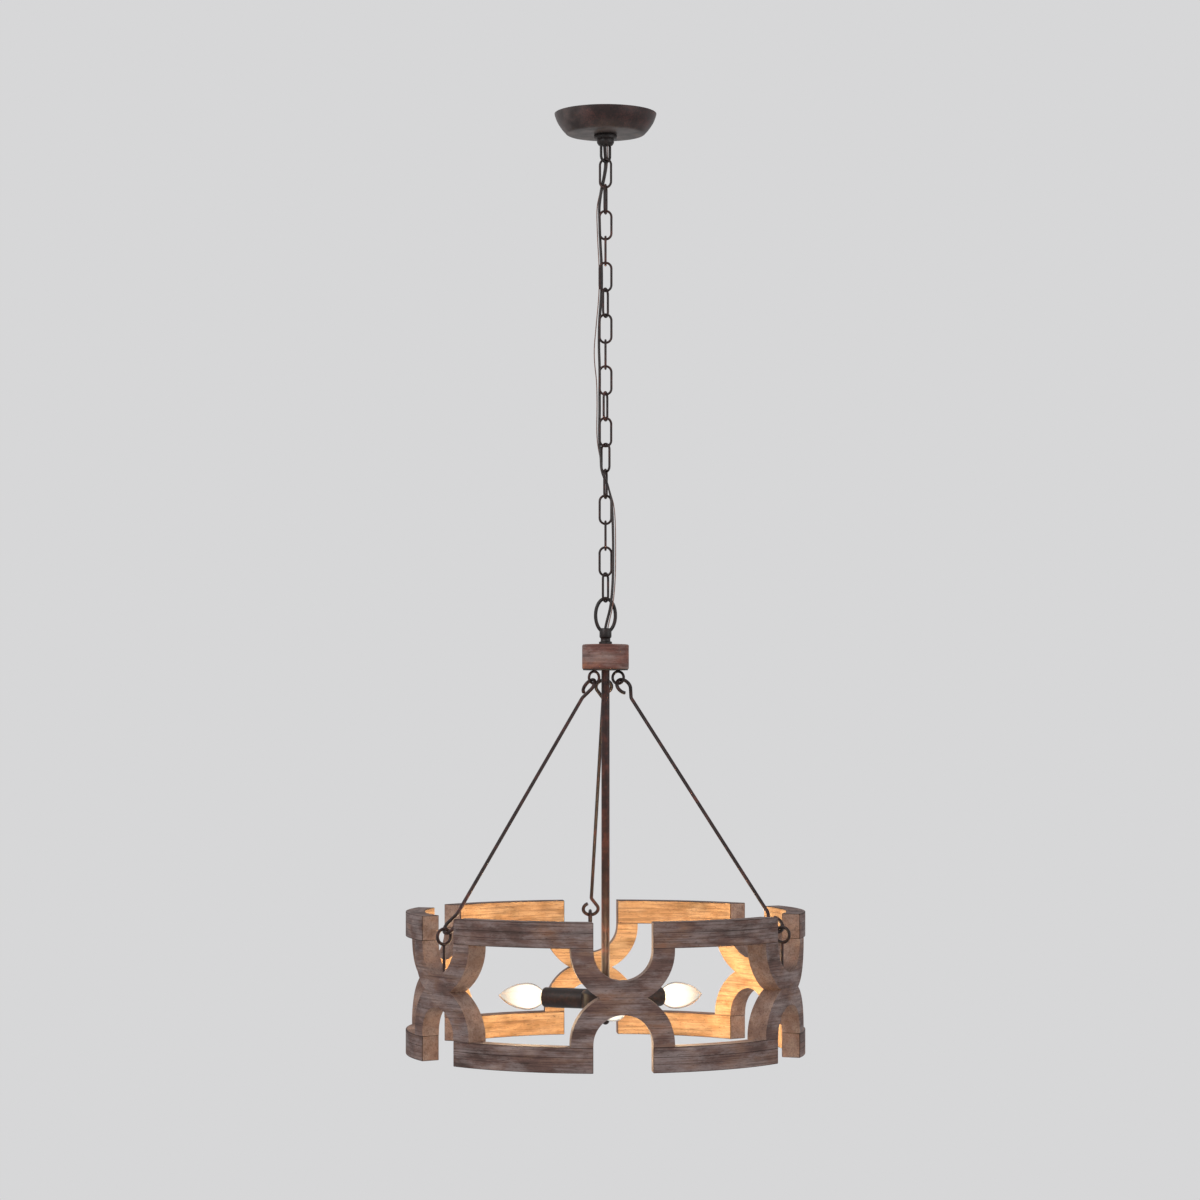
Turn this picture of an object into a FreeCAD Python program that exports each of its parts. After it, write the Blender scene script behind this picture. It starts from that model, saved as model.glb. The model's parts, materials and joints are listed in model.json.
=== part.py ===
# Chain-hung chandelier: a ring of six wooden lattice crosses round three candle lamps.
# Millimetres. Z is up, the ceiling is z = 0, and the hanging axis is the Z axis.
# An azimuth is counted from the front (-Y), turning towards +X.

import FreeCAD
import Part
import Sketcher
import math
import os
from types import SimpleNamespace
from FreeCAD import Placement, Rotation, Vector

doc = FreeCAD.newDocument("LatticeChandelier")

# Driving dimensions: radii unless the name says otherwise
driving = dict(
    canopy_rim=65, canopy_shoulder=61.5, canopy_base=51, canopy_depth=26, canopy_wall=1.2,
    canopy_hole=13.5, canopy_curve=34, bar_length=100, bar_width=25, bar_thick=2, slot_spacing=79.4,
    slot_half=2.2, slot_run=9.5, nipple_wall=5, wire_way=3.7, nipple_length=34, nut_corner=8,
    nut_height=4, collar_outer=14.5, collar_height=6, neck_outer=10.9, neck_foot=9, neck_top=18,
    neck_bottom=40, thread_play=0.1, stirrup_wire=1.75, stirrup_bend=7.5, stirrup_drop=59.21,
    link_wire=1.5, link_bend=7.5, link_inside=33.11, link_play=0.15,
    loop_wire=2.25, loop_bend=12.6, loop_straight=17.9, loop_collar=7.7, loop_waist=6.2,
    loop_flange=8.35, coupling_drop=35.6, coupling_height=20.6, hub_radius=29.75, hub_height=31.4,
    plate_radius=28.8, plate_thick=1.5, hub_eye_bend=7.75, hub_eye_wire=1.75, hub_eye_reach=17.75,
    stem_radius=5.25, stem_wall=1.2, stem_seat=9, stem_entry=8,
    body_radius=31, body_top=15, body_bottom=17, cluster_drop=508.6, sleeve_radius=12.75,
    sleeve_wall=1.2, sleeve_start=26, sleeve_end=86.5, socket_length=52, socket_bore=6.25,
    cap_radius=6, cap_length=20, bulb_neck=7, bulb_radius=17.5, bulb_belly=28, bulb_length=71,
    glass_wall=0.9, bulb_start=62, finial_ball=5, finial_drop=10,
    ring_outer=254, board_thick=24, ring_half=90, ring_drop=485.1, rail_height=31,
    arch_centre=56, arch_outer=62.5, arch_inner=36, ring_eye_bend=9.5, ring_eye_wire=2,
    ring_eye_rise=66, screw_depth=15, screw_radius=1.85, rod_wire=2.25, hook_bend=10,
    hook_reach=18, hook_play=0.2, kink_bend=6, cord_radius=2, ground_radius=0.65)

sheet = doc.addObject("Spreadsheet::Sheet", "sizes")
for row, (name, number) in enumerate(driving.items(), start=1):
    sheet.set("A%d" % row, name)
    sheet.set("B%d" % row, str(number))
    sheet.setAlias("B%d" % row, name)
doc.recompute()


class Size:
    """A length with its present value and its expression on the sheet."""

    def __init__(self, number, text):
        self.number = float(number)
        self.text = text

    def __float__(self):
        return self.number

    def __add__(self, other):
        return Size(self.number + float(other), "(%s + %s)" % (self.text, textOf(other)))

    def __sub__(self, other):
        return Size(self.number - float(other), "(%s - %s)" % (self.text, textOf(other)))

    def __rsub__(self, other):
        return Size(float(other) - self.number, "(%s - %s)" % (textOf(other), self.text))

    def __mul__(self, factor):
        return Size(self.number * float(factor), "(%s * %s)" % (self.text, textOf(factor)))

    def __truediv__(self, factor):
        return Size(self.number / float(factor), "(%s / %s)" % (self.text, textOf(factor)))

    def __neg__(self):
        return self * -1

    __radd__ = __add__
    __rmul__ = __mul__


def textOf(length):
    return length.text if isinstance(length, Size) else "%.6f" % length


s = SimpleNamespace(**{name: Size(sheet.get(name), "sizes." + name) for name in driving})


def make(kind, name, **lengths):
    """Add an object; each Size given for a property is bound to the sheet."""
    item = doc.addObject(kind, name)
    for key, length in lengths.items():
        if isinstance(length, Size):
            item.setExpression(key, length.text)
        else:
            setattr(item, key, length)
    return item


def place(item, x=0, y=0, z=0, turn=Rotation()):
    """Put an object at a point, turned, with each Size bound to the sheet."""
    item.Placement = Placement(Vector(float(x), float(y), float(z)), turn)
    for axis, length in (("x", x), ("y", y), ("z", z)):
        if isinstance(length, Size):
            item.setExpression("Placement.Base." + axis, length.text)
    return item


def radial(azimuth, reach, z=0):
    """Coordinates of a point at an azimuth, for place()."""
    angle = math.radians(azimuth)
    return dict(x=reach * math.sin(angle), y=reach * -math.cos(angle), z=z)


def about(azimuth):
    return Rotation(Vector(0, 0, 1), azimuth)


outwards = Rotation(Vector(1, 0, 0), 90)       # turns +Z to the front, radially out
sideways = Rotation(Vector(0, 1, 0), 90)       # turns +Z along +X


def outline(sketch, corners):
    """Closed outline through the corners. A third number is the radius of the arc that ends
    there, positive where the arc turns left."""
    ends = []
    for start, end in zip([corners[-1]] + corners[:-1], corners):
        a = Vector(float(start[0]), float(start[1]), 0)
        b = Vector(float(end[0]), float(end[1]), 0)
        if len(end) == 2:
            ends.append((sketch.addGeometry(Part.LineSegment(a, b), False), 1, 2))
            continue
        bend = abs(float(end[2]))
        left = float(end[2]) > 0
        aside = Vector(a.y - b.y, b.x - a.x, 0).normalize() * (1 if left else -1)
        centre = (a + b) / 2 + aside * math.sqrt(max(bend ** 2 - ((b - a).Length / 2) ** 2, 0))
        first, last = (a, b) if left else (b, a)
        angles = [math.atan2(p.y - centre.y, p.x - centre.x) for p in (first, last)]
        if angles[1] < angles[0]:
            angles[1] += 2 * math.pi
        arc = Part.ArcOfCircle(Part.Circle(centre, Vector(0, 0, 1), bend), *angles)
        index = sketch.addGeometry(arc, False)
        ends.append((index, 1, 2) if left else (index, 2, 1))
        constrain(sketch, "Radius", (index,), end[2] if left else -end[2])
    for this, following in zip(ends, ends[1:] + ends[:1]):
        sketch.addConstraint(Sketcher.Constraint("Coincident", this[0], this[2],
                                                 following[0], following[1]))
    for (index, _, tip), corner in zip(ends, corners):
        constrain(sketch, "DistanceX", (-1, 1, index, tip), corner[0])
        constrain(sketch, "DistanceY", (-1, 1, index, tip), corner[1])


def constrain(sketch, kind, where, length):
    index = sketch.addConstraint(Sketcher.Constraint(kind, *where, float(length)))
    if isinstance(length, Size):
        sketch.setExpression("Constraints[%d]" % index, length.text)


def turned(name, corners):
    """A body turned about Z from its half section, given as (radius, height) corners."""
    body = doc.addObject("PartDesign::Body", name)
    sketch = body.newObject("Sketcher::SketchObject", name + "_section")
    upright = [plane for plane in body.Origin.OriginFeatures if plane.Role == "XZ_Plane"][0]
    sketch.AttachmentSupport = [(upright, "")]
    sketch.MapMode = "FlatFace"
    outline(sketch, corners)
    turn = body.newObject("PartDesign::Revolution", name + "_turn")
    turn.Profile = sketch
    turn.ReferenceAxis = (sketch, ["V_Axis"])
    turn.Angle = 360
    body.Tip = turn
    return body


def bored(name, radius, bore, height, **at):
    """A plain tube: one cylinder less another."""
    outer = make("Part::Cylinder", name + "_outer", Radius=radius, Height=height)
    inner = make("Part::Cylinder", name + "_bore", Radius=bore, Height=height)
    tube = make("Part::Cut", name, Base=outer, Tool=inner)
    return place(tube, **at)


nodes = {}


def keep(name, item):
    """Make an object a node of the assembly, under its own label."""
    item.Label = name
    nodes[name] = item
    return item


# Ceiling plate, threaded nipple and its lock nut
blank = place(make("Part::Box", "bar_blank", Length=s.bar_length, Width=s.bar_width,
                   Height=s.bar_thick),
              x=s.bar_length / -2, y=s.bar_width / -2, z=-s.bar_thick)
barCuts = [place(make("Part::Cylinder", "bar_thread", Radius=s.nipple_wall, Height=20), z=-10)]
for side in (-1, 1):
    middle = s.slot_spacing * (side / 2)
    barCuts.append(place(make("Part::Box", "slot_waist", Length=s.slot_run, Width=s.slot_half * 2,
                              Height=20),
                         x=middle - s.slot_run / 2, y=-s.slot_half, z=-10))
    for end in (-0.5, 0.5):
        barCuts.append(place(make("Part::Cylinder", "slot_end", Radius=s.slot_half, Height=20),
                             x=middle + s.slot_run * end, z=-10))
keep("ceiling_bracket", make("Part::Cut", "bracket", Base=blank,
                             Tool=make("Part::MultiFuse", "bar_holes", Shapes=barCuts)))
keep("threaded_nipple", bored("nipple", s.nipple_wall, s.wire_way, s.nipple_length,
                              z=-s.nipple_length))
hexagon = make("Part::Prism", "nut_blank", Polygon=6, Circumradius=s.nut_corner,
               Height=s.nut_height)
nutThread = make("Part::Cylinder", "nut_thread", Radius=s.nipple_wall, Height=s.nut_height)
keep("nipple_nut", place(make("Part::Cut", "lock_nut", Base=hexagon, Tool=nutThread),
                         z=-(s.bar_thick + s.nut_height)))

# Spun canopy with its open top at the ceiling, and the ring nut that holds it up
wall = s.canopy_wall
keep("canopy", turned("canopy_body", [
    (s.canopy_hole, -s.canopy_depth), (s.canopy_base - 3, -s.canopy_depth),
    (s.canopy_base, 1.8 - s.canopy_depth, Size(4, "4.0")),
    (s.canopy_shoulder, -11, s.canopy_curve), (s.canopy_rim, 0, s.canopy_curve),
    (s.canopy_rim - wall, 0), (s.canopy_shoulder - wall, -11, wall - s.canopy_curve),
    (s.canopy_base - wall, 2.6 - s.canopy_depth, wall - s.canopy_curve),
    (s.canopy_base - 3.6, wall - s.canopy_depth, Size(-3.2, "-3.2")),
    (s.canopy_hole, wall - s.canopy_depth)]))
ringInside = s.neck_outer + s.thread_play
keep("collar_ring", place(turned("collar_ring_body", [
    (ringInside, 0), (ringInside, -s.collar_height), (s.collar_outer - 1.5, -s.collar_height),
    (s.collar_outer, 1.5 - s.collar_height), (s.collar_outer, -1), (s.collar_outer - 1, 0)]),
    z=-s.canopy_depth))

# Collar loop: a bored neck on the nipple, with a stirrup that carries the chain
stirrupTurn = 42
seat = s.nipple_length
neck = turned("loop_neck", [
    (s.nipple_wall, -s.neck_top), (s.nipple_wall, -seat), (s.wire_way, -seat),
    (s.wire_way, -s.neck_bottom), (s.neck_foot, -s.neck_bottom),
    (s.neck_outer, 3 - s.neck_bottom), (s.neck_outer, 1 - s.neck_top),
    (s.neck_outer - 1, -s.neck_top)])
bendHeight = -(s.stirrup_drop + s.stirrup_wire - s.stirrup_bend)
lower = place(make("Part::Torus", "stirrup_bow", Radius1=s.stirrup_bend, Radius2=s.stirrup_wire,
                   Angle3=180),
              z=bendHeight, turn=about(stirrupTurn) * Rotation(Vector(1, 0, 0), -90))
legs = []
for side in (-90, 90):
    foot = radial(stirrupTurn + side, s.stirrup_bend, bendHeight)
    legs.append(place(make("Part::Cylinder", "stirrup_leg", Radius=s.stirrup_wire,
                           Height=s.stirrup_drop + s.stirrup_wire - s.stirrup_bend
                           - s.neck_bottom + 2), **foot))
keep("collar_loop", make("Part::MultiFuse", "loop", Shapes=[neck, lower] + legs))

# Chain: every link is the same bent wire, hung from the one above and turned about its axis
bendReach = s.link_inside / 2 + s.link_wire - s.link_bend
bows = [place(make("Part::Torus", "link_bow", Radius1=s.link_bend, Radius2=s.link_wire,
                   Angle3=180),
              z=bendReach * side, turn=Rotation(Vector(1, 0, 0), 90 * side))
        for side in (1, -1)]
sides = [place(make("Part::Cylinder", "link_side", Radius=s.link_wire, Height=bendReach * 2),
               x=s.link_bend * side, z=-bendReach) for side in (1, -1)]
linkTurns = [-20, 80, 0, 90, 0, 66, 0, 90, 0, 72, 15, -48, 78, 10, 90, 0, 64]
pitch = s.link_inside - s.link_play
for number, linkTurn in enumerate(linkTurns, start=1):
    middle = -(s.stirrup_drop - s.link_play + pitch * (number - 1) + s.link_inside / 2)
    link = make("Part::MultiFuse", "link%d" % number, Shapes=bows + sides)
    keep("chain_link_%02d" % number, place(link, z=middle, turn=about(linkTurn)))
loopTop = -(s.stirrup_drop - s.link_play + pitch * len(linkTurns))

# Oval top loop, whose ends meet the collar of the coupling below it
topBow = place(make("Part::Torus", "loop_top_bow", Radius1=s.loop_bend, Radius2=s.loop_wire,
                    Angle3=180),
               z=s.loop_wire - s.loop_bend, turn=Rotation(Vector(1, 0, 0), 90))
lowBow = place(make("Part::Torus", "loop_low_bow", Radius1=s.loop_bend, Radius2=s.loop_wire,
                    Angle3=180),
               z=s.loop_wire - s.loop_bend - s.loop_straight,
               turn=Rotation(Vector(1, 0, 0), -90))
loopSides = [place(make("Part::Cylinder", "loop_side", Radius=s.loop_wire,
                        Height=s.loop_straight),
                   x=s.loop_bend * side, z=s.loop_wire - s.loop_bend - s.loop_straight)
             for side in (1, -1)]
oval = make("Part::MultiFuse", "loop_oval", Shapes=[topBow, lowBow] + loopSides)
collarRoom = place(make("Part::Cylinder", "collar_room", Radius=s.loop_collar, Height=20),
                   z=-(s.coupling_drop + 18))
keep("top_loop", place(make("Part::Cut", "oval_loop", Base=oval, Tool=collarRoom), z=loopTop))
couplingTop = loopTop - s.coupling_drop
tall = s.coupling_height
keep("loop_coupling", place(turned("coupling_body", [
    (s.wire_way, 0), (s.wire_way, s.stem_entry - tall), (s.stem_radius, s.stem_entry - tall),
    (s.stem_radius, -tall), (s.loop_flange, -tall), (s.loop_flange, 3.5 - tall),
    (s.loop_waist, 4.5 - tall), (s.loop_waist, 8 - tall), (s.loop_collar, 9.5 - tall),
    (s.loop_collar, -1.2), (s.loop_collar - 1.2, 0)]), z=couplingTop))

# Turned hub with its steel plate, and three eyes screwed up into it
hubTop = couplingTop - tall
hubTurns = [-55.2, 64.8, 184.8]
eyeHeight = hubTop - s.hub_height - s.plate_thick - s.hub_eye_bend - s.hub_eye_wire
eyePieces, shankHoles = [], []
for azimuth in hubTurns:
    ring = make("Part::Torus", "hub_eye_ring", Radius1=s.hub_eye_bend, Radius2=s.hub_eye_wire)
    place(ring, **radial(azimuth, s.hub_eye_reach, eyeHeight), turn=about(azimuth) * sideways)
    for pieces in (eyePieces, shankHoles):
        pieces.append(place(make("Part::Cylinder", "hub_eye_shank", Radius=s.hub_eye_wire,
                                 Height=s.hub_eye_wire + s.plate_thick + 14),
                            **radial(azimuth, s.hub_eye_reach, eyeHeight + s.hub_eye_bend)))
    eyePieces.append(ring)
shanks = make("Part::Compound", "eye_shanks", Links=shankHoles)
hub = place(turned("hub_turning", [
    (s.stem_radius, 0), (s.stem_radius, -s.hub_height), (s.hub_radius - 1, -s.hub_height),
    (s.hub_radius, 1 - s.hub_height), (s.hub_radius, -1.5), (s.hub_radius - 1.5, 0)]), z=hubTop)
plate = bored("plate_blank", s.plate_radius, s.stem_radius, s.plate_thick,
              z=hubTop - s.hub_height - s.plate_thick)
keep("hub_disc", make("Part::Cut", "hub_drilled", Base=hub, Tool=shanks))
keep("hub_plate", make("Part::Cut", "plate_drilled", Base=plate, Tool=shanks))
keep("hub_eyes", make("Part::MultiFuse", "eyes_of_hub", Shapes=eyePieces))

# Stem from inside the coupling down to its seat in the lamp cluster
clusterZ = loopTop - s.cluster_drop
stemFoot = clusterZ + s.stem_seat
keep("stem", bored("stem_tube", s.stem_radius, s.stem_radius - s.stem_wall,
                   hubTop + s.stem_entry - stemFoot, z=stemFoot))

# Lamp cluster: turned body, three arms of sleeve and lamp holder, and the finial
armTurns = dict(front=4.8, right=124.8, left=-115.2)
body = place(turned("cluster_turning", [
    (0, s.stem_seat), (s.stem_radius, s.stem_seat), (s.stem_radius, s.body_top),
    (s.body_radius - 9, s.body_top), (s.body_radius, s.body_top - 6),
    (s.body_radius, 7 - s.body_bottom), (s.body_radius - 7, 2 - s.body_bottom),
    (s.body_radius - 19, -s.body_bottom), (2.5, -s.body_bottom), (2.5, 5 - s.body_bottom),
    (0, 5 - s.body_bottom)]), z=clusterZ)
armSeats, sleeves, sockets = [], [], []
for arm, azimuth in armTurns.items():
    reach = radial(azimuth, s.sleeve_start, clusterZ)
    turn = about(azimuth) * outwards
    armSeats.append(place(make("Part::Cylinder", "arm_seat", Radius=s.sleeve_radius,
                               Height=s.sleeve_end - s.sleeve_start), **reach, turn=turn))
    sleeves.append(bored("sleeve_" + arm, s.sleeve_radius, s.sleeve_radius - s.sleeve_wall,
                         s.sleeve_end - s.sleeve_start, **reach, turn=turn))
    holder = turned("holder_" + arm, [
        (0, 0), (s.sleeve_radius - s.sleeve_wall, 0),
        (s.sleeve_radius - s.sleeve_wall, s.socket_length), (s.socket_bore, s.socket_length),
        (s.socket_bore, s.bulb_start - s.sleeve_start - 1),
        (0, s.bulb_start - s.sleeve_start - 1)])
    sockets.append(place(holder, **reach, turn=turn))
keep("cluster_body", make("Part::Cut", "cluster_bored", Base=body,
                          Tool=make("Part::Compound", "arm_seats", Links=armSeats)))
keep("socket_sleeves", make("Part::Compound", "sleeves", Links=sleeves))
keep("lamp_sockets", make("Part::Compound", "holders", Links=sockets))
ball = s.finial_ball
keep("finial", place(turned("finial_turning", [
    (0, 5), (2.5, 5), (2.5, 0), (6, 0), (6, -1.5), (3, -3), (3, ball - s.finial_drop),
    (ball, -s.finial_drop, Size(-8, "-8.0")), (0, -(s.finial_drop + ball), -ball)]),
    z=clusterZ - s.body_bottom))

# Candle bulbs: a glass envelope on a screw cap. The envelope swells from its neck to the belly
# and narrows to a point, as shares of the rise and of the belly's radius.
bellyHeight = s.cap_length + s.bulb_belly
swell = [(0, 0.51), (0.4, 0.80), (0.75, 0.965), (1, 1)]
taper = [(0.25, 0.946), (0.5, 0.779), (0.75, 0.479), (0.9, 0.218)]


def envelope(radius, tip):
    """Half outline of the glass from its shoulder up to its tip."""
    low = [(radius * share, s.cap_length + 8 + (s.bulb_belly - 8) * rise)
           for rise, share in swell]
    high = [(radius * share, bellyHeight + (tip - s.bulb_belly) * rise)
            for rise, share in taper]
    return low + high + [(0, s.cap_length + tip)]


cap = turned("bulb_cap", [
    (0, 0), (2.5, 0), (2.5, 1.5), (s.cap_radius, 3), (s.cap_radius, s.cap_length - 1),
    (s.bulb_neck, s.cap_length - 1), (s.bulb_neck, s.cap_length), (0, s.cap_length)])
glass = turned("bulb_envelope", [(s.bulb_neck, s.cap_length)]
               + envelope(s.bulb_radius, s.bulb_length)
               + envelope(s.bulb_radius - s.glass_wall, s.bulb_length - 1.5)[::-1]
               + [(s.bulb_neck - s.glass_wall, s.cap_length)])
for arm, azimuth in armTurns.items():
    bulb = make("Part::Compound", "bulb_of_" + arm, Links=[cap, glass])
    keep("bulb_" + arm, place(bulb, **radial(azimuth, s.bulb_start, clusterZ),
                              turn=about(azimuth) * outwards))

# Lattice ring: six crosses cut through a round band, with rails above and below
ringZ = loopTop - s.ring_drop
ringInner = s.ring_outer - s.board_thick
eyeReach = s.ring_outer - s.board_thick / 2
firstCross = 4.8
seam = s.ring_half - s.rail_height
notch = math.sqrt(float(s.arch_outer) ** 2 - float(s.arch_centre) ** 2)
half = [(s.arch_inner, seam), (s.arch_outer, seam), (s.arch_outer, s.arch_centre),
        (notch, 0, -s.arch_outer), (s.arch_outer, -s.arch_centre, -s.arch_outer),
        (s.arch_outer, -seam), (s.arch_inner, -seam), (s.arch_inner, -s.arch_centre),
        (0, s.arch_inner - s.arch_centre, s.arch_inner)]
crossSketch = doc.addObject("Sketcher::SketchObject", "cross_outline")
crossSketch.Placement = Placement(Vector(), Rotation(Vector(1, 0, 0), 90))
outline(crossSketch, half
        + [(-s.arch_inner, -s.arch_centre, s.arch_inner)]
        + [(-s.arch_inner, -seam), (-s.arch_outer, -seam), (-s.arch_outer, -s.arch_centre),
           (-notch, 0, -s.arch_outer), (-s.arch_outer, s.arch_centre, -s.arch_outer),
           (-s.arch_outer, seam), (-s.arch_inner, seam), (-s.arch_inner, s.arch_centre),
           (0, s.arch_centre - s.arch_inner, s.arch_inner),
           (s.arch_inner, s.arch_centre, s.arch_inner)])
crossPrism = make("Part::Extrusion", "cross_prism", Base=crossSketch, DirMode="Normal",
                  LengthFwd=s.ring_outer + 5, Solid=True)
band = bored("cross_band", s.ring_outer, ringInner, seam * 2, z=-seam)
eyeHole = place(make("Part::Cylinder", "eye_hole", Radius=s.screw_radius, Height=40),
                y=-eyeReach, z=s.arch_centre - s.arch_inner - s.screw_depth)
railBlank = make("Part::Cut", "rail_blank",
                 Base=make("Part::Cylinder", "rail_outer", Radius=s.ring_outer,
                           Height=s.rail_height, Angle=60),
                 Tool=make("Part::Cylinder", "rail_inner", Radius=ringInner,
                           Height=s.rail_height))
place(railBlank, turn=about(-120))
railGaps = [place(make("Part::Box", "rail_gap", Length=s.arch_inner * 2, Width=s.ring_outer + 5,
                       Height=s.rail_height),
                  **radial(side * 30 + 90, s.arch_inner), turn=about(side * 30 + 180))
            for side in (-1, 1)]
gapPair = make("Part::Compound", "rail_gaps", Links=railGaps)
for number in range(6):
    azimuth = firstCross + 60 * number
    cross = make("Part::Common", "cross%d" % (number + 1), Base=band, Tool=crossPrism)
    if number % 2:
        cross = make("Part::Cut", "drilled_cross%d" % (number + 1), Base=cross, Tool=eyeHole)
    keep("cross_%d" % (number + 1), place(cross, z=ringZ, turn=about(azimuth)))
    for name, height in (("top_rail", seam), ("bottom_rail", -s.ring_half)):
        rail = make("Part::Cut", "%s%d" % (name, number + 1), Base=railBlank, Tool=gapPair)
        keep("%s_%d" % (name, number + 1),
             place(rail, z=ringZ + height, turn=about(azimuth + 30)))

# Three eye screws stand in the crosses that carry the rods
ringEyeZ = ringZ + s.ring_eye_rise
eyeTurns = {-55.2: 0, 64.8: 0, 184.8: 0}
screwPieces = []
for azimuth, twist in eyeTurns.items():
    foot = ringZ + s.arch_centre - s.arch_inner - s.screw_depth
    screwPieces += [
        place(make("Part::Torus", "ring_eye_bow", Radius1=s.ring_eye_bend,
                   Radius2=s.ring_eye_wire),
              **radial(azimuth, eyeReach, ringEyeZ),
              turn=about(azimuth + twist) * sideways),
        place(make("Part::Cylinder", "ring_eye_shank", Radius=s.screw_radius,
                   Height=s.ring_eye_rise - s.ring_eye_bend - s.arch_centre + s.arch_inner
                   + s.screw_depth),
              **radial(azimuth, eyeReach, foot))]
keep("ring_eyes", make("Part::MultiFuse", "eyes_of_ring", Shapes=screwPieces))


def bentRun(points, bend=None):
    """Straight edges through the points, with a tangent arc at each corner. With no bend given,
    each arc takes 0.45 of the shorter run beside it."""
    edges, here, bends = [], points[0], []
    for before, corner, after in zip(points, points[1:], points[2:]):
        back, on = before - corner, after - corner
        half = (math.pi - back.getAngle(on)) / 2
        trim = bend * math.tan(half) if bend else 0.45 * min(back.Length, on.Length)
        bends.append(trim / math.tan(half))
        first = corner + Vector(back).normalize() * trim
        last = corner + Vector(on).normalize() * trim
        inward = (Vector(back).normalize() + Vector(on).normalize()).normalize()
        middle = corner + inward * (bends[-1] / math.cos(half) - bends[-1])
        edges += [Part.LineSegment(here, first).toShape(), Part.Arc(first, middle, last).toShape()]
        here = last
    return edges + [Part.LineSegment(here, points[-1]).toShape()], min(bends or [0])


def swept(name, edges, radius):
    """Round wire along the edges, as one solid."""
    path = Part.Wire(edges)
    start = edges[0]
    ring = Part.Circle(start.valueAt(start.FirstParameter), start.tangentAt(start.FirstParameter),
                       float(radius)).toShape()
    wire = make("Part::Feature", name)
    wire.Shape = path.makePipeShell([Part.Wire(ring)], True, False)
    print(name, "length %.1f, volume over section x length %.4f"
          % (path.Length, wire.Shape.Volume / (math.pi * float(radius) ** 2 * path.Length)))
    return wire


# Rods: bent wire from a hub eye to a ring eye, with an open hook at each end
hookBend, hookReach, play = float(s.hook_bend), float(s.hook_reach), float(s.hook_play)
hookStart = math.degrees(math.acos(hookBend / hookReach)) - 90
hookSweep = 277
for name, azimuth, lean in (("rod_left", -55.2, 0), ("rod_right", 64.8, -26),
                            ("rod_back", 184.8, 0)):
    across = about(azimuth)
    hubEye = across.multVec(Vector(0, -float(s.hub_eye_reach), float(eyeHeight)))
    ringEye = across.multVec(Vector(0, -float(eyeReach), float(ringEyeZ)))
    along = (hubEye - ringEye).normalize()
    aside = Rotation(along, lean).multVec(across.multVec(Vector(1, 0, 0)))
    inHub = float(s.hub_eye_bend) - float(s.hub_eye_wire) - float(s.rod_wire) - play
    inRing = float(s.ring_eye_bend) - float(s.ring_eye_wire) - float(s.rod_wire) - play
    runs = []
    for centre, out, side in ((hubEye - along * (inHub + hookBend), along, aside),
                              (ringEye + along * (inRing + hookBend), -along, -aside)):
        def onHook(angle):
            turn = math.radians(angle)
            return centre + (side * math.cos(turn) + out * math.sin(turn)) * hookBend
        runs.append((onHook(hookStart + hookSweep), onHook(hookStart + hookSweep / 2),
                     onHook(hookStart), centre - out * hookReach))
    (topTip, topMiddle, topFoot, topKink), (lowTip, lowMiddle, lowFoot, lowKink) = runs
    middleRun, _ = bentRun([topFoot, topKink, lowKink, lowFoot], float(s.kink_bend))
    edges = ([Part.Arc(topTip, topMiddle, topFoot).toShape()] + middleRun
             + [Part.Arc(lowFoot, lowMiddle, lowTip).toShape()])
    keep(name, swept(name + "_wire", edges, s.rod_wire))

# Lamp cord and earth wire: laced beside the chain from the nipple to the coupling
cordPoints = [
    (-1.2, 0, -20), (-1.2, 0.1, -36), (-0.4, 3.7, -50), (0.6, 6.6, -63), (-1.2, 6.3, -77),
    (-4.0, 5.9, -90), (-6.4, 5.2, -103), (-8.2, 4.6, -118), (-7.6, 4.5, -133),
    (-7.2, 4.4, -150), (-6.4, 4.3, -168), (-5.2, 4.4, -187), (-4.9, 4.5, -205),
    (-4.9, 4.4, -222), (-5.9, 4.5, -240), (-7.5, 4.6, -258), (-8.3, 4.4, -277),
    (-8.4, 4.3, -298), (-7.6, 4.4, -318), (-7.3, 4.3, -338), (-7.6, 4.5, -358),
    (-7.4, 4.8, -378), (-7.9, 4.6, -397), (-8.0, 3.8, -412), (-7.4, 1.0, -426),
    (-6.2, -1.9, -440), (-5.4, -3.5, -454), (0.2, -2.9, -467), (5.4, -2.9, -481),
    (8.0, -3.8, -496), (9.0, -4.2, -513), (9.5, -4.0, -532), (9.8, -4.1, -552),
    (9.7, -4.4, -572), (9.5, -4.8, -591), (8.4, -5.3, -610), (6.2, -4.0, -630),
    (1.2, -0.8, -648), (-1.2, 0, -660), (-1.2, 0.1, -667)]
earthPoints = [
    (2.0, 0, -20), (2.1, 0.1, -36), (2.9, 4.4, -50), (2.6, 9.2, -63), (0.4, 9.3, -77),
    (-4.0, 9.2, -90), (-8.2, 8.2, -103), (-11.0, 6.4, -118), (-11.0, 4.9, -133),
    (-10.4, 4.5, -150), (-9.6, 4.2, -168), (-8.4, 4.3, -187), (-8.0, 4.6, -205),
    (-8.1, 4.4, -222), (-9.1, 4.3, -240), (-10.9, 4.2, -258), (-12.6, 3.9, -277),
    (-14.6, 3.9, -298), (-14.0, 4.3, -318), (-11.4, 4.2, -338), (-10.8, 4.3, -358),
    (-10.8, 4.9, -378), (-11.2, 5.0, -397), (-10.9, 4.6, -412), (-9.2, 4.4, -426),
    (-6.2, 2.2, -440), (-4.3, -0.5, -454), (0.4, 0.3, -467), (5.6, 0.6, -481),
    (10.4, -1.6, -496), (12.2, -3.6, -513), (12.7, -4.6, -532), (12.9, -5.0, -552),
    (12.8, -5.4, -572), (12.5, -5.9, -591), (11.2, -6.4, -610), (8.8, -5.2, -630),
    (4.4, -1.2, -648), (2.0, 0, -660), (2.0, 0.1, -667)]
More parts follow.
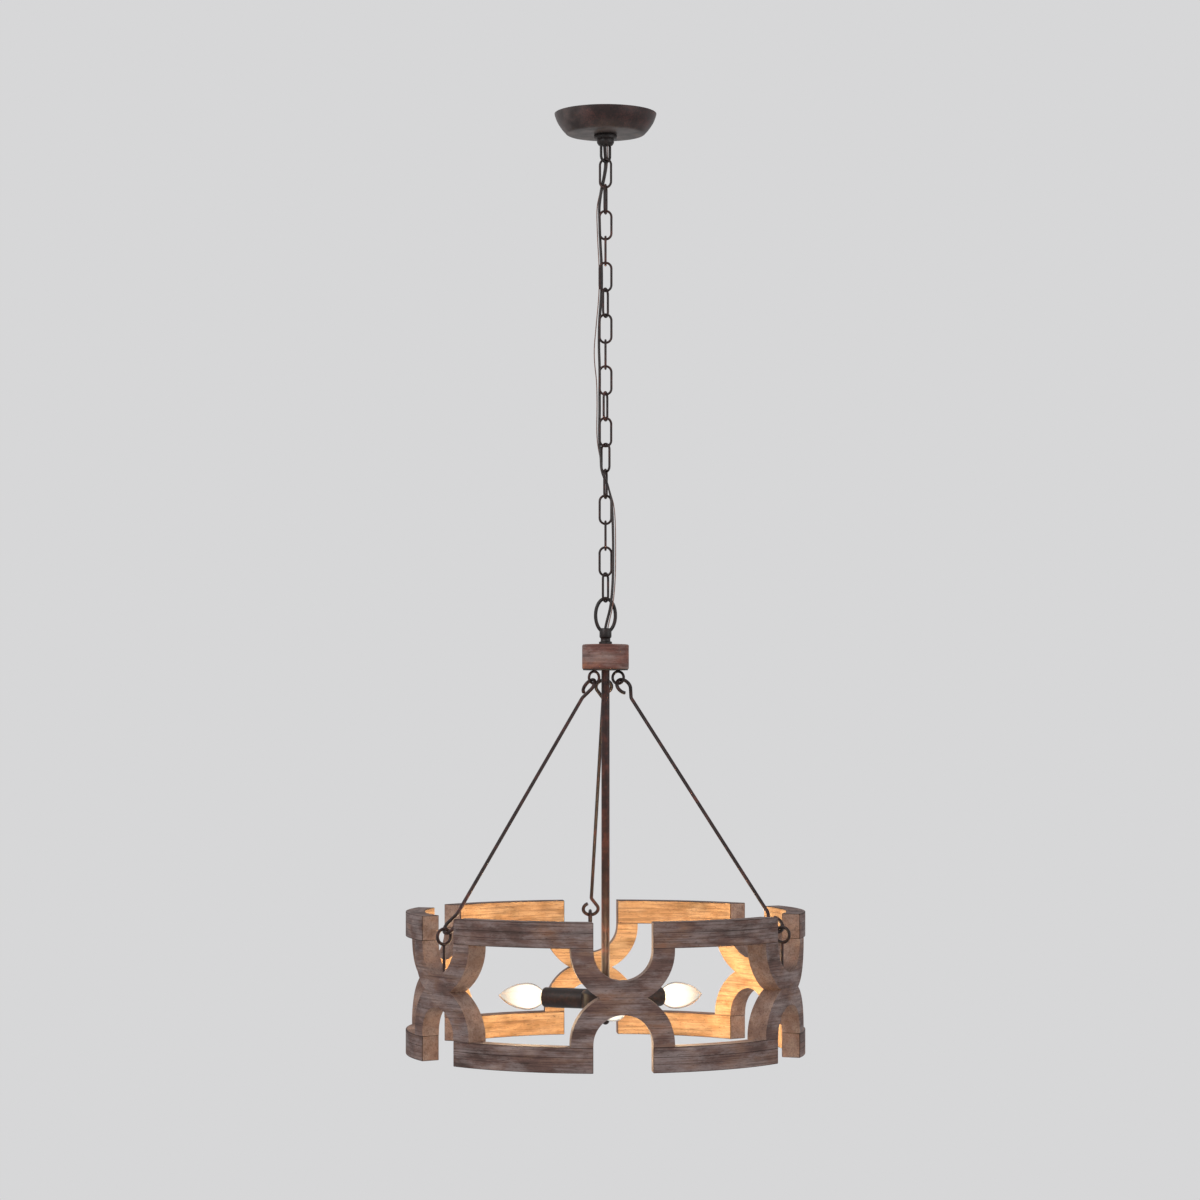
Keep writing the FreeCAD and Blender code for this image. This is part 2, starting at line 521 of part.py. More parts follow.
for name, points, radius in (("power_cord", cordPoints, s.cord_radius),
                             ("ground_wire", earthPoints, s.ground_radius)):
    edges, tightest = bentRun([Vector(*point) for point in points])
    keep(name, swept(name + "_run", edges, radius))
    print(name, "tightest bend %.1f" % tightest)

doc.recompute()
for item in doc.Objects:
    if "Invalid" in item.State or "Error" in item.State:
        raise RuntimeError("%s did not build: %s" % (item.Name, item.State))
os.makedirs("parts", exist_ok=True)
for name, item in nodes.items():
    if item.Shape.isNull() or not item.Shape.isValid() or item.Shape.Volume <= 0:
        raise RuntimeError(name + " has no sound solid")
    item.Shape.exportStep("parts/%s.step" % name)
box = Part.makeCompound([item.Shape for item in nodes.values()]).BoundBox
print("%d nodes, %.1f x %.1f x %.1f mm, z %.1f to %.1f"
      % (len(nodes), box.XLength, box.YLength, box.ZLength, box.ZMin, box.ZMax))
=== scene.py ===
import bpy
import bmesh
import json
import math
from mathutils import Matrix, Vector


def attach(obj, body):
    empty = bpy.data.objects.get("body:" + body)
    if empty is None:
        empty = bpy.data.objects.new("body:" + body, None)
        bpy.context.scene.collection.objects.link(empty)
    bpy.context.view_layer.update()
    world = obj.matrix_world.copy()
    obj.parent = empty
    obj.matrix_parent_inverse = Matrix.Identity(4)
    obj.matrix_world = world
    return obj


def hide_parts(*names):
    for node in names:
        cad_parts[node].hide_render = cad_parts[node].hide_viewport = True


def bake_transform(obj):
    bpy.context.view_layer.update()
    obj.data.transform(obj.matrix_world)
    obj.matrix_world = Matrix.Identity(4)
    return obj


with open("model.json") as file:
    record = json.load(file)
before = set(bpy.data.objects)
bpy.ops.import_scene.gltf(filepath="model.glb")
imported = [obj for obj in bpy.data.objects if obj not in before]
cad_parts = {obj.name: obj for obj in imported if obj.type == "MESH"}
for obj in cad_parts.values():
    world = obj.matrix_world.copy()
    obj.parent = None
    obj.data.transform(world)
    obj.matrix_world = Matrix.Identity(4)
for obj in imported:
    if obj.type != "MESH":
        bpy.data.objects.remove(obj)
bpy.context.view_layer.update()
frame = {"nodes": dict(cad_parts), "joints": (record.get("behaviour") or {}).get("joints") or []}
print("frame loaded")

# Lengths below are millimetres; makePiece turns them to metres. Azimuth 0 is the front, -Y.
# Each link hangs in the one above with a little play; the first hangs in the stirrup.
chain = {"turns": [-20, 80, 0, 90, 0, 66, 0, 90, 0, 72, 15, -48, 78, 10, 90, 0, 64],
         "wire": 1.5, "bend": 7.5, "inside": 33.11, "play": 0.15, "drop": 59.21}
linkPitch = chain["inside"] - chain["play"]
loopTop = chain["play"] - chain["drop"] - linkPitch * len(chain["turns"])
hubTop = loopTop - 56.2
hubEyeHeight = hubTop - 42.4
clusterHeight = hubTop - 452.4
ringHeight = clusterHeight + 23.5
ringEyeHeight = ringHeight + 66

# ---- camera at the photograph's viewing angle
camera = {"away": 3987, "height": -778, "aside": -7.0, "focal": 93.9, "film": 36,
          "rise": 0.104, "sight": 50}
cameraData = bpy.data.cameras.new("photoCamera")
cameraData.lens = camera["focal"]
cameraData.sensor_width = camera["film"]
cameraData.shift_y = camera["rise"]
cameraData.clip_end = camera["sight"]
cameraObject = bpy.data.objects.new("photoCamera", cameraData)
cameraObject.location = (camera["aside"] / 1000, -camera["away"] / 1000, camera["height"] / 1000)
cameraObject.rotation_euler = (math.pi / 2, 0, 0)
bpy.context.scene.collection.objects.link(cameraObject)
bpy.context.scene.camera = cameraObject
print("camera placed")


# ---- shapes
def turnAbout(azimuth):
    return Matrix.Rotation(math.radians(azimuth), 4, "Z")


def radialAt(azimuth, reach, height=0):
    angle = math.radians(azimuth)
    return Vector((math.sin(angle) * reach, -math.cos(angle) * reach, height))


# One mesh object from several (points, faces) shapes, riding on a body.
def makePiece(name, shapes, materials, body, stands=(), sharp=35, bevel=0, grain=None):
    points, faces, slots = [], [], []
    for shape in shapes:
        start = len(points)
        points += [Vector(p) / 1000 for p in shape[0]]
        faces += [[i + start for i in face] for face in shape[1]]
        kinds = shape[2] if len(shape) > 2 else 0
        slots += kinds if isinstance(kinds, list) else [kinds] * len(shape[1])
    mesh = bpy.data.meshes.new(name)
    mesh.from_pydata(points, [], faces)
    for material in materials:
        mesh.materials.append(material)
    mesh.polygons.foreach_set("material_index", slots)
    if grain:
        layer = mesh.attributes.new("grain", "FLOAT_VECTOR", "POINT")
        layer.data.foreach_set("vector", [c for p in points for c in grain(p * 1000)])
    work = bmesh.new()
    work.from_mesh(mesh)
    bmesh.ops.remove_doubles(work, verts=work.verts, dist=1e-6)
    bmesh.ops.recalc_face_normals(work, faces=work.faces)
    work.to_mesh(mesh)
    work.free()
    mesh.polygons.foreach_set("use_smooth", [True] * len(mesh.polygons))
    mesh.set_sharp_from_angle(angle=math.radians(sharp))
    piece = bpy.data.objects.new(name, mesh)
    bpy.context.scene.collection.objects.link(piece)
    if bevel:
        rounding = piece.modifiers.new("edges", "BEVEL")
        rounding.width = bevel / 1000
        rounding.segments = 2
        rounding.limit_method = "ANGLE"
        rounding.angle_limit = math.radians(40)
        if len(materials) > 1:
            rounding.material = 1
    if body:
        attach(piece, body)
    if stands:
        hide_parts(*stands)
    return piece


# Turns a (radius, height) outline about Z.
def lathe(profile, steps=64, place=Matrix(), closed=True, slot=0):
    count = len(profile)
    points = [place @ Vector((r * math.cos(2 * math.pi * k / steps),
                              r * math.sin(2 * math.pi * k / steps), z))
              for k in range(steps) for r, z in profile]
    faces = []
    for k in range(steps):
        here, there = k * count, (k + 1) % steps * count
        for i in range(count if closed else count - 1):
            j = (i + 1) % count
            if profile[i][0] < 1e-6 and profile[j][0] < 1e-6:
                continue
            corners = [here + i, here + j, there + j, there + i]
            if profile[i][0] < 1e-6:
                corners = [here + i, here + j, there + j]
            elif profile[j][0] < 1e-6:
                corners = [here + i, here + j, there + i]
            faces.append(corners)
    return points, faces, slot


# A round wire along the path; section gives another outline, radius may vary along it.
def tube(path, radius, steps=16, closed=False, section=None, slot=0):
    path = [Vector(p) for p in path]
    count = len(path)
    thick = radius if callable(radius) else lambda share: radius
    outline = section or [(math.cos(2 * math.pi * k / steps), math.sin(2 * math.pi * k / steps))
                          for k in range(steps)]
    steps = len(outline)
    tangents = []
    for i in range(count):
        before = path[i - 1] if i or closed else path[i]
        after = path[(i + 1) % count] if i < count - 1 or closed else path[i]
        tangents.append((after - before).normalized())
    side = tangents[0].orthogonal().normalized()
    points = []
    for i, (centre, along) in enumerate(zip(path, tangents)):
        side = (side - along * side.dot(along)).normalized()
        up = along.cross(side)
        size = thick(i / max(count - 1, 1))
        points += [centre + (side * a + up * b) * size for a, b in outline]
    faces = []
    for i in range(count if closed else count - 1):
        here, there = i * steps, (i + 1) % count * steps
        twist = 0
        if closed and i == count - 1:      # the last ring meets the first where it lies nearest
            twist = min(range(steps), key=lambda k: (points[here] - points[k]).length)
        for k in range(steps):
            faces.append([here + k, here + (k + 1) % steps,
                          there + (k + 1 + twist) % steps, there + (k + twist) % steps])
    if not closed:
        faces += [list(range(steps)), list(range((count - 1) * steps, count * steps))]
    return points, faces, slot


# Points on an arc; angles in degrees from across towards along.
def arc(centre, across, along, radius, start, end, pieces):
    centre, across, along = Vector(centre), Vector(across), Vector(along)
    angles = [math.radians(start + (end - start) * k / pieces) for k in range(pieces + 1)]
    return [centre + (across * math.cos(a) + along * math.sin(a)) * radius for a in angles]


# Points of the bend a wire takes at a corner.
def roundedBend(before, corner, after, radius, pieces=6):
    back, on = (before - corner).normalized(), (after - corner).normalized()
    half = (math.pi - back.angle(on)) / 2
    trim = radius * math.tan(half)
    middle = corner + (back + on).normalized() * radius / math.cos(half)
    start = corner + back * trim - middle
    side = (on * trim + corner - middle) - start
    side = (side - start * side.dot(start) / start.length_squared).normalized()
    return arc(middle, start.normalized(), side, radius, 0, math.degrees(2 * half), pieces)


# ---- colours and nodes
# sRGB hex to the linear colour the renderer wants.
def paint(code):
    parts = [int(code[i:i + 2], 16) / 255 for i in (1, 3, 5)]
    return [c / 12.92 if c <= 0.04045 else ((c + 0.055) / 1.055) ** 2.4 for c in parts] + [1]


# Adds one node: settings are its own values, links its sockets' values or sources.
def addNode(material, kind, settings=(), links=()):
    tree = material.node_tree
    node = tree.nodes.new("ShaderNode" + kind)
    for key, value in dict(settings).items():
        if key == "stops":
            ramp = node.color_ramp
            while len(ramp.elements) < len(value):
                ramp.elements.new(1)
            for element, (position, colour) in zip(ramp.elements, value):
                element.position = position
                element.color = paint(colour) if isinstance(colour, str) else [colour] * 3 + [1]
        else:
            setattr(node, key, value)
    for key, value in dict(links).items():
        socket = node.inputs[key]
        if isinstance(value, bpy.types.NodeSocket):
            tree.links.new(value, socket)
        else:
            socket.default_value = value
    return node


# A new material and its shader, with the constants that its sockets hold.
def newMaterial(name, values=()):
    material = bpy.data.materials.new(name)
    material.use_nodes = True
    shader = material.node_tree.nodes["Principled BSDF"]
    for key, value in dict(values).items():
        shader.inputs[key].default_value = value
    return material, shader


def weatheredFir(name, stains, washing=0.7, ageing=1.0, shade="#ffffff"):
    # Fir boards, wire-brushed, stained and washed with a thin grey coat: fine lines along the
    # grain, soft worn patches a few centimetres long, short dark scratches under a millimetre.
    material, shader = newMaterial(name, {"Roughness": 0.74, "Specular IOR Level": 0.35})
    place = addNode(material, "Attribute", {"attribute_name": "grain"}).outputs["Vector"]

    def streaks(stretch, scale, detail, roughness, **moved):
        at = addNode(material, "Mapping", {}, {"Vector": place, "Scale": (stretch, 1, 1), **moved})
        return addNode(material, "TexNoise", {}, {
            "Vector": at.outputs[0], "Scale": scale, "Detail": detail,
            "Roughness": roughness}).outputs[0]

    patches = streaks(0.45, 0.045, 5, 0.58)
    lines = streaks(0.03, 0.45, 7, 0.62)
    worn = streaks(0.35, 0.06, 8, 0.66, Location=(40, 9, 0))
    hatch = streaks(0.25, 0.8, 4, 0.55, Rotation=(0.5, 0.4, 0.5))
    stain = addNode(material, "ValToRGB", {"stops": [
        (0.36, stains[0]), (0.5, stains[1]), (0.62, stains[2]), (0.74, stains[3])]},
        {0: patches}).outputs[0]
    wash = addNode(material, "ValToRGB", {"stops": [(0.44, 0.0), (0.58, washing * 0.6),
                                                    (0.72, washing)]}, {0: worn}).outputs[0]
    washed = addNode(material, "Mix", {"data_type": "RGBA"},
                     {0: wash, 6: stain, 7: paint(stains[4])}).outputs[2]
    lineShade = addNode(material, "ValToRGB", {"stops": [
        (0.34, "#7a6a64"), (0.44, "#c2b5ae"), (0.52, "#ffffff"), (0.66, "#cfc4bf")]},
        {0: lines}).outputs[0]
    lined = addNode(material, "Mix", {"data_type": "RGBA", "blend_type": "MULTIPLY"},
                    {0: 0.62 * ageing, 6: washed, 7: lineShade}).outputs[2]
    scratch = addNode(material, "ValToRGB", {"stops": [
        (0.3, 0.75 * ageing), (0.4, 0.0), (0.62, 0.0), (0.7, 0.5 * ageing)]},
        {0: hatch}).outputs[0]
    scratched = addNode(material, "Mix", {"data_type": "RGBA"},
                        {0: scratch, 6: lined, 7: paint("#3b2b27")}).outputs[2]
    colour = addNode(material, "Mix", {"data_type": "RGBA", "blend_type": "MULTIPLY"},
                     {0: 1.0, 6: scratched, 7: paint(shade)}).outputs[2]
    material.node_tree.links.new(colour, shader.inputs["Base Color"])
    relief = addNode(material, "Math", {"operation": "ADD"}, {0: lines, 1: worn}).outputs[0]
    bump = addNode(material, "Bump", {}, {"Strength": 0.5, "Distance": 0.0005,
                                          "Height": relief}).outputs[0]
    material.node_tree.links.new(bump, shader.inputs["Normal"])
    return material


def rustyBronze(name, tones, mottleSize=3, paintedSheen=0.0):
    # Steel under sprayed bronze-black paint, dry-brushed with rust red: satin, cloudy every
    # few millimetres with a fine grit, and a little metal in its shine.
    material, shader = newMaterial(name, {"Metallic": 0.12, "Specular IOR Level": 0.4})
    place = addNode(material, "TexCoord").outputs["Object"]
    mottle = addNode(material, "TexNoise", {}, {"Vector": place, "Scale": 1000 / mottleSize,
                                                "Detail": 5, "Roughness": 0.6}).outputs[0]
    cloud = addNode(material, "TexNoise", {}, {"Vector": place, "Scale": 45, "Detail": 4,
                                               "Roughness": 0.55}).outputs[0]
    blend = addNode(material, "Mix", {"data_type": "FLOAT"}, {0: 0.5, 2: mottle, 3: cloud})
    colour = addNode(material, "ValToRGB", {"stops": [
        (0.38, tones[0]), (0.5, tones[1]), (0.58, tones[2]), (0.7, tones[3])]},
        {0: blend.outputs[0]}).outputs[0]
    # Painted highlight: a patchy pale grey on the faces turned down and to the left, standing in
    # for the sheen of the light there.
    if paintedSheen:
        facing = addNode(material, "NewGeometry").outputs["Normal"]
        down = addNode(material, "SeparateXYZ", {}, {0: facing})
        under = addNode(material, "MapRange", {}, {"Value": down.outputs["Z"], "From Min": -0.55,
                                                   "From Max": -1.0, "To Max": paintedSheen}).outputs[0]
        left = addNode(material, "MapRange", {}, {"Value": down.outputs["X"], "From Min": -0.2,
                                                  "From Max": -1.0, "To Max": paintedSheen}).outputs[0]
        sheenFacing = addNode(material, "Math", {"operation": "MAXIMUM"}, {0: under, 1: left})
        patchy = addNode(material, "ValToRGB", {"stops": [(0.35, 0.2), (0.65, 1.0)]}, {0: cloud})
        grey = addNode(material, "Math", {"operation": "MULTIPLY"},
                       {0: sheenFacing.outputs[0], 1: patchy.outputs[0]}).outputs[0]
        colour = addNode(material, "Mix", {"data_type": "RGBA"},
                         {0: grey, 6: colour, 7: paint("#827b78")}).outputs[2]
    material.node_tree.links.new(colour, shader.inputs["Base Color"])
    rough = addNode(material, "MapRange", {}, {"Value": mottle, "To Min": 0.34, "To Max": 0.6})
    material.node_tree.links.new(rough.outputs[0], shader.inputs["Roughness"])
    bump = addNode(material, "Bump", {}, {"Strength": 0.25, "Distance": 0.0002,
                                          "Height": mottle}).outputs[0]
    material.node_tree.links.new(bump, shader.inputs["Normal"])
    return material


def vinylJacket(name, colour, rough):
    # Extruded PVC: smooth with a faint drawn waviness, soft shine.
    material, shader = newMaterial(name, {"Roughness": rough})
    place = addNode(material, "TexCoord").outputs["Object"]
    waves = addNode(material, "TexNoise", {}, {"Vector": place, "Scale": 260,
                                               "Detail": 2}).outputs[0]
    tone = addNode(material, "ValToRGB", {"stops": [(0.35, colour[0]), (0.65, colour[1])]},
                   {0: waves}).outputs[0]
    material.node_tree.links.new(tone, shader.inputs["Base Color"])
    bump = addNode(material, "Bump", {}, {"Strength": 0.2, "Distance": 0.0002, "Height": waves})
    material.node_tree.links.new(bump.outputs[0], shader.inputs["Normal"])
    return material


def zincSteel(name):
    # Zinc-plated steel: bright, slightly blue, with a spangle of a few millimetres.
    material, shader = newMaterial(name, {"Metallic": 1, "Roughness": 0.38})
    place = addNode(material, "TexCoord").outputs["Object"]
    spangle = addNode(material, "TexVoronoi", {}, {"Vector": place, "Scale": 260}).outputs["Color"]
    tone = addNode(material, "ValToRGB", {"stops": [(0.0, "#9a9d9e"), (1.0, "#c3c6c6")]},
                   {0: spangle}).outputs[0]
    material.node_tree.links.new(tone, shader.inputs["Base Color"])
    return material


def phenolic(name):
    # Moulded black phenolic of a lamp holder: hard, slightly glossy.
    material, shader = newMaterial(name, {"Roughness": 0.42})
    place = addNode(material, "TexCoord").outputs["Object"]
    cloud = addNode(material, "TexNoise", {}, {"Vector": place, "Scale": 300}).outputs[0]
    tone = addNode(material, "ValToRGB", {"stops": [(0.3, "#141211"), (0.7, "#221e1c")]},
                   {0: cloud}).outputs[0]
    material.node_tree.links.new(tone, shader.inputs["Base Color"])
    return material


def clearGlass(name):
    # Blown soda-lime glass, thin and clear.
    return newMaterial(name, {"Base Color": paint("#fffaf2"), "Roughness": 0.02, "IOR": 1.45,
                              "Transmission Weight": 1})[0]


def lampGlow(name):
    # The glare round the filament: white by the neck, gone towards the tip.
    material, shader = newMaterial(name)
    tree = material.node_tree
    along = addNode(material, "Attribute", {"attribute_name": "grain"}).outputs["Vector"]
    rise = addNode(material, "SeparateXYZ", {}, {0: along}).outputs["X"]
    fade = addNode(material, "ValToRGB", {"stops": [(0.0, 1.0), (0.42, 0.95), (0.62, 0.5),
                                                    (0.88, 0.0)]}, {0: rise}).outputs[0]
    tint = addNode(material, "ValToRGB", {"stops": [(0.0, "#ffe9c4"), (0.25, "#fffaf0"),
                                                    (0.6, "#fff6e4"), (0.9, "#ffe6bd")]},
                   {0: rise}).outputs[0]
    glow = addNode(material, "Emission", {}, {"Color": tint, "Strength": 1.6}).outputs[0]
    clear = addNode(material, "BsdfTransparent").outputs[0]
    mixed = addNode(material, "MixShader", {}, {0: fade, 1: clear, 2: glow}).outputs[0]
    tree.links.new(mixed, tree.nodes["Material Output"].inputs["Surface"])
    tree.nodes.remove(shader)
    return material


greyStain = ("#54403a", "#6a5049", "#7f6254", "#8c6049", "#a09391")
# Golden tone of the inner faces: partly the fir's own colour, partly painted light from the bulbs,
# which makes them lighter and warmer than the outer faces.
bulbLitHoneyStain = ("#7d6040", "#967350", "#a98660", "#8a633f", "#b89f80")
cutStain = ("#6f5850", "#7f675d", "#8f7467", "#7d6150", "#a0918a")
hubStain = ("#63403a", "#7a5046", "#96634c", "#a86d4a", "#a0918c")
wood = weatheredFir("greyWashedFir", greyStain)
woodEdge = weatheredFir("darkenedArris", greyStain, shade="#7d6a63")
# Inner faces: the same fir, lighter and more golden as painted bulb light.
bulbLitInnerWood = weatheredFir("honeyFirWithPaintedBulbLight", bulbLitHoneyStain, washing=0.5)
woodCut = weatheredFir("sawnFirEnd", cutStain, washing=0.6, ageing=0.8)
hubWood = weatheredFir("rustWashedFir", hubStain, washing=0.65)
bronze = rustyBronze("rustyBronze", ("#141010", "#1f1817", "#2e201e", "#42291f"))
# Canopy: the bronze with a painted highlight on its lower and left faces.
canopyPaint = rustyBronze("bronzeWithPaintedSheen", ("#1d1313", "#2b1c1b", "#402624", "#54312b"), 2,
                          paintedSheen=0.42)
chainPaint = rustyBronze("chainBronze", ("#170c0b", "#261513", "#3d211c", "#5c3028"), 7)
stemPaint = rustyBronze("stemBronze", ("#1c1110", "#2f1a17", "#47261f", "#63342a"), 7)
cordVinyl = vinylJacket("brownVinyl", ("#1d1413", "#2c1d1a"), 0.42)
earthVinyl = vinylJacket("clearVinylOverCopper", ("#5f3d34", "#8a6455"), 0.3)
zinc = zincSteel("zincPlatedSteel")
holderBlack = phenolic("blackPhenolic")
glass = clearGlass("clearBulbGlass")
glow = lampGlow("litFilament")
nickel = zincSteel("nickelCap")
print("materials made")

# ---- lamp cord and earth wire, laced beside the chain
cordRoute = [
    (-1.2, 0, -20), (-1.2, 0.1, -36), (-0.4, 3.7, -50), (0.6, 6.6, -63), (-1.2, 6.3, -77),
    (-4.0, 5.9, -90), (-6.4, 5.2, -103), (-8.2, 4.6, -118), (-7.6, 4.5, -133),
    (-7.2, 4.4, -150), (-6.4, 4.3, -168), (-5.2, 4.4, -187), (-4.9, 4.5, -205),
    (-4.9, 4.4, -222), (-5.9, 4.5, -240), (-7.5, 4.6, -258), (-8.3, 4.4, -277),
    (-8.4, 4.3, -298), (-7.6, 4.4, -318), (-7.3, 4.3, -338), (-7.6, 4.5, -358),
    (-7.4, 4.8, -378), (-7.9, 4.6, -397), (-8.0, 3.8, -412), (-7.4, 1.0, -426),
    (-6.2, -1.9, -440), (-5.4, -3.5, -454), (0.2, -2.9, -467), (5.4, -2.9, -481),
    (8.0, -3.8, -496), (9.0, -4.2, -513), (9.5, -4.0, -532), (9.8, -4.1, -552),
    (9.7, -4.4, -572), (9.5, -4.8, -591), (8.4, -5.3, -610), (6.2, -4.0, -630),
    (1.2, -0.8, -648), (-1.2, 0, -660), (-1.2, 0.1, -667)]
earthRoute = [
    (2.0, 0, -20), (2.1, 0.1, -36), (2.9, 4.4, -50), (2.6, 9.2, -63), (0.4, 9.3, -77),
    (-4.0, 9.2, -90), (-8.2, 8.2, -103), (-11.0, 6.4, -118), (-11.0, 4.9, -133),
    (-10.4, 4.5, -150), (-9.6, 4.2, -168), (-8.4, 4.3, -187), (-8.0, 4.6, -205),
    (-8.1, 4.4, -222), (-9.1, 4.3, -240), (-10.9, 4.2, -258), (-12.6, 3.9, -277),
    (-14.6, 3.9, -298), (-14.0, 4.3, -318), (-11.4, 4.2, -338), (-10.8, 4.3, -358),
    (-10.8, 4.9, -378), (-11.2, 5.0, -397), (-10.9, 4.6, -412), (-9.2, 4.4, -426),
    (-6.2, 2.2, -440), (-4.3, -0.5, -454), (0.4, 0.3, -467), (5.6, 0.6, -481),
    (10.4, -1.6, -496), (12.2, -3.6, -513), (12.7, -4.6, -532), (12.9, -5.0, -552),
    (12.8, -5.4, -572), (12.5, -5.9, -591), (11.2, -6.4, -610), (8.8, -5.2, -630),
    (4.4, -1.2, -648), (2.0, 0, -660), (2.0, 0.1, -667)]


# Points along the smooth spline that the route controls.
def routeSpline(points):
    curve = bpy.data.curves.new("route", "CURVE")
    curve.dimensions = "3D"
    curve.resolution_u = 5
    spline = curve.splines.new("NURBS")
    spline.points.add(len(points) - 1)
    for control, point in zip(spline.points, points):
        control.co = (*point, 1)
    spline.order_u = 3
    spline.use_endpoint_u = True
    holder = bpy.data.objects.new("route", curve)
    mesh = bpy.data.meshes.new_from_object(holder)
    found = [v.co.copy() for v in mesh.vertices]
    bpy.data.objects.remove(holder)
    bpy.data.curves.remove(curve)
    bpy.data.meshes.remove(mesh)
    return found if found[0].z > found[-1].z else found[::-1]


# Two round cores side by side under one jacket, 4.4 by 2.5 mm, its flat side to the chain.
cord = {"core": 1.25, "apart": 0.95, "earth": 0.65, "earthSides": 10}
twinLead = []
for side in (1, -1):
    for step in range(-5, 6):
        angle = math.radians(step * 24)
        twinLead.append((side * (cord["apart"] + cord["core"] * math.cos(angle)),
                         side * cord["core"] * math.sin(angle)))
earthAngles = [2 * math.pi * k / cord["earthSides"] for k in range(cord["earthSides"])]
roundWire = [(cord["earth"] * math.cos(a), cord["earth"] * math.sin(a)) for a in earthAngles]


# Cross sections along a wire: the wide way lies along the chain's face, not towards it.
def cordRings(path, section, flat):
    nearAxis, turnShare = 3.5, 0.25         # too near the axis to face it; how fast it turns
    rings, side = [], Vector((1, 0, 0))
    for i, here in enumerate(path):
        along = (path[min(i + 1, len(path) - 1)] - path[max(i - 1, 0)]).normalized()
        inwards = Vector((-here.x, -here.y, 0))
        if flat and inwards.length > nearAxis:
            wanted = along.cross(inwards.normalized())
            if wanted.dot(side) < 0:
                wanted = -wanted
            side = side.lerp(wanted, turnShare)
        side = (side - along * side.dot(along)).normalized()
        up = along.cross(side)
        rings.append([here + side * a + up * b for a, b in section])
    return rings


# Both wires are cut half way between joints, into one piece for each joint.
links = sorted((j for j in frame["joints"] if j["child"].startswith("link_")
                or j["child"] == "fixture"), key=lambda j: (j["child"] == "fixture", j["child"]))
jointHeights = [j["pos_m"][2] * 1000 for j in links]
cuts = ([cordRoute[0][2]] + [(a + b) / 2 for a, b in zip(jointHeights, jointHeights[1:])]
        + [cordRoute[-1][2]])
for name, route, section, vinyl, slot in (
        ("power_cord", cordRoute, twinLead, cordVinyl, "cord_jacket"),
        ("ground_wire", earthRoute, roundWire, earthVinyl, "earth_wire")):
    path = routeSpline(route)
    rings = cordRings(path, section, name == "power_cord")
    length = sum((b - a).length for a, b in zip(path, path[1:]))
    print("%s: %.0f mm along its curve" % (name, length))
    sides = len(section)
    starts = [min(range(len(path)), key=lambda i: abs(path[i].z - cut)) for cut in cuts]
    for number, joint in enumerate(links):
        part = rings[starts[number]:starts[number + 1] + 1]
        points = [p for ring in part for p in ring]
        faces = [[i * sides + k, i * sides + (k + 1) % sides, (i + 1) * sides + (k + 1) % sides,
                  (i + 1) * sides + k] for i in range(len(part) - 1) for k in range(sides)]
        if number == 0:                     # only the wire's own two ends are closed
            faces.append(list(range(sides)))
        if number == len(links) - 1:
            faces.append(list(range((len(part) - 1) * sides, len(part) * sides)))
        piece = makePiece("%s_%02d" % (name, number + 1), [(points, faces)], [vinyl], None,
                          stands=(name,) if number == 0 else (), sharp=80)
        middle = joint["pos_m"][2]
        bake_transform(piece)
print("cords laid")

# ---- canopy and what holds it
canopy = {"rim": 65, "depth": 26, "wall": 1.2, "hole": 13.5, "turned": 2}
base, wall = -canopy["depth"], canopy["wall"]
outer = [(canopy["hole"], base), (30, base), (46.8, base), (49.2, base + 0.35),
         (50.6, base + 1.2), (51.4, base + 2.2), (54.6, -20.4), (57.3, -16.8), (59.7, -13.2),
         (61.6, -9.9), (63.0, -6.6), (64.1, -3.4), (64.8, -0.9), (canopy["rim"], 0)]
innerSkin = [(r - wall, z + 0.1) if z > base + canopy["turned"] else (r - wall / 2, z + wall)
             for r, z in outer[2:-1]][::-1]
canopyShape = outer + [(canopy["rim"] - wall, 0)] + innerSkin + [(canopy["hole"], base + wall)]
makePiece("spunCanopy", [lathe(canopyShape, 128)], [canopyPaint], "canopy",
          ["canopy"], sharp=40)
ringNut = [(11.05, 0), (11.05, -6), (12.9, -6), (14.1, -5.5), (14.5, -4.6), (14.5, -1.3),
           (14.1, -0.4), (13.2, 0)]
makePiece("ringNut", [lathe([(r, z + base) for r, z in ringNut], 64)], [bronze], "canopy",
          ["collar_ring"])

stirrup = {"turn": 42, "wire": 1.75, "bend": 7.5, "bow": -53.46, "legTop": -38.5, "legEnd": -46}
neck = [(5.0, -18), (5.0, -34), (3.7, -34), (3.7, -40), (8.6, -40), (9.2, -39.6), (10.5, -37.4),
        (10.9, -36.6), (10.9, -33.4), (10.5, -33.1), (10.9, -32.8), (10.9, -19), (10.4, -18)]
stirrupPath = ([(-stirrup["bend"], 0, stirrup[k]) for k in ("legTop", "legEnd")]
               + arc((0, 0, stirrup["bow"]), (1, 0, 0), (0, 0, 1), stirrup["bend"], 180, 360, 24)
               + [(stirrup["bend"], 0, stirrup[k]) for k in ("legEnd", "legTop")])
stirrupPath = [turnAbout(stirrup["turn"]) @ Vector(p) for p in stirrupPath]
makePiece("collarLoop", [lathe(neck, 64), tube(stirrupPath, stirrup["wire"], 18)], [bronze],
          "ceiling_mount", ["collar_loop"])
for name in ("ceiling_bracket", "threaded_nipple", "nipple_nut", "lamp_sockets"):
    for materialSlot in frame["nodes"][name].material_slots:
        materialSlot.link = "OBJECT"
        materialSlot.material = holderBlack if name == "lamp_sockets" else zinc
print("canopy made")

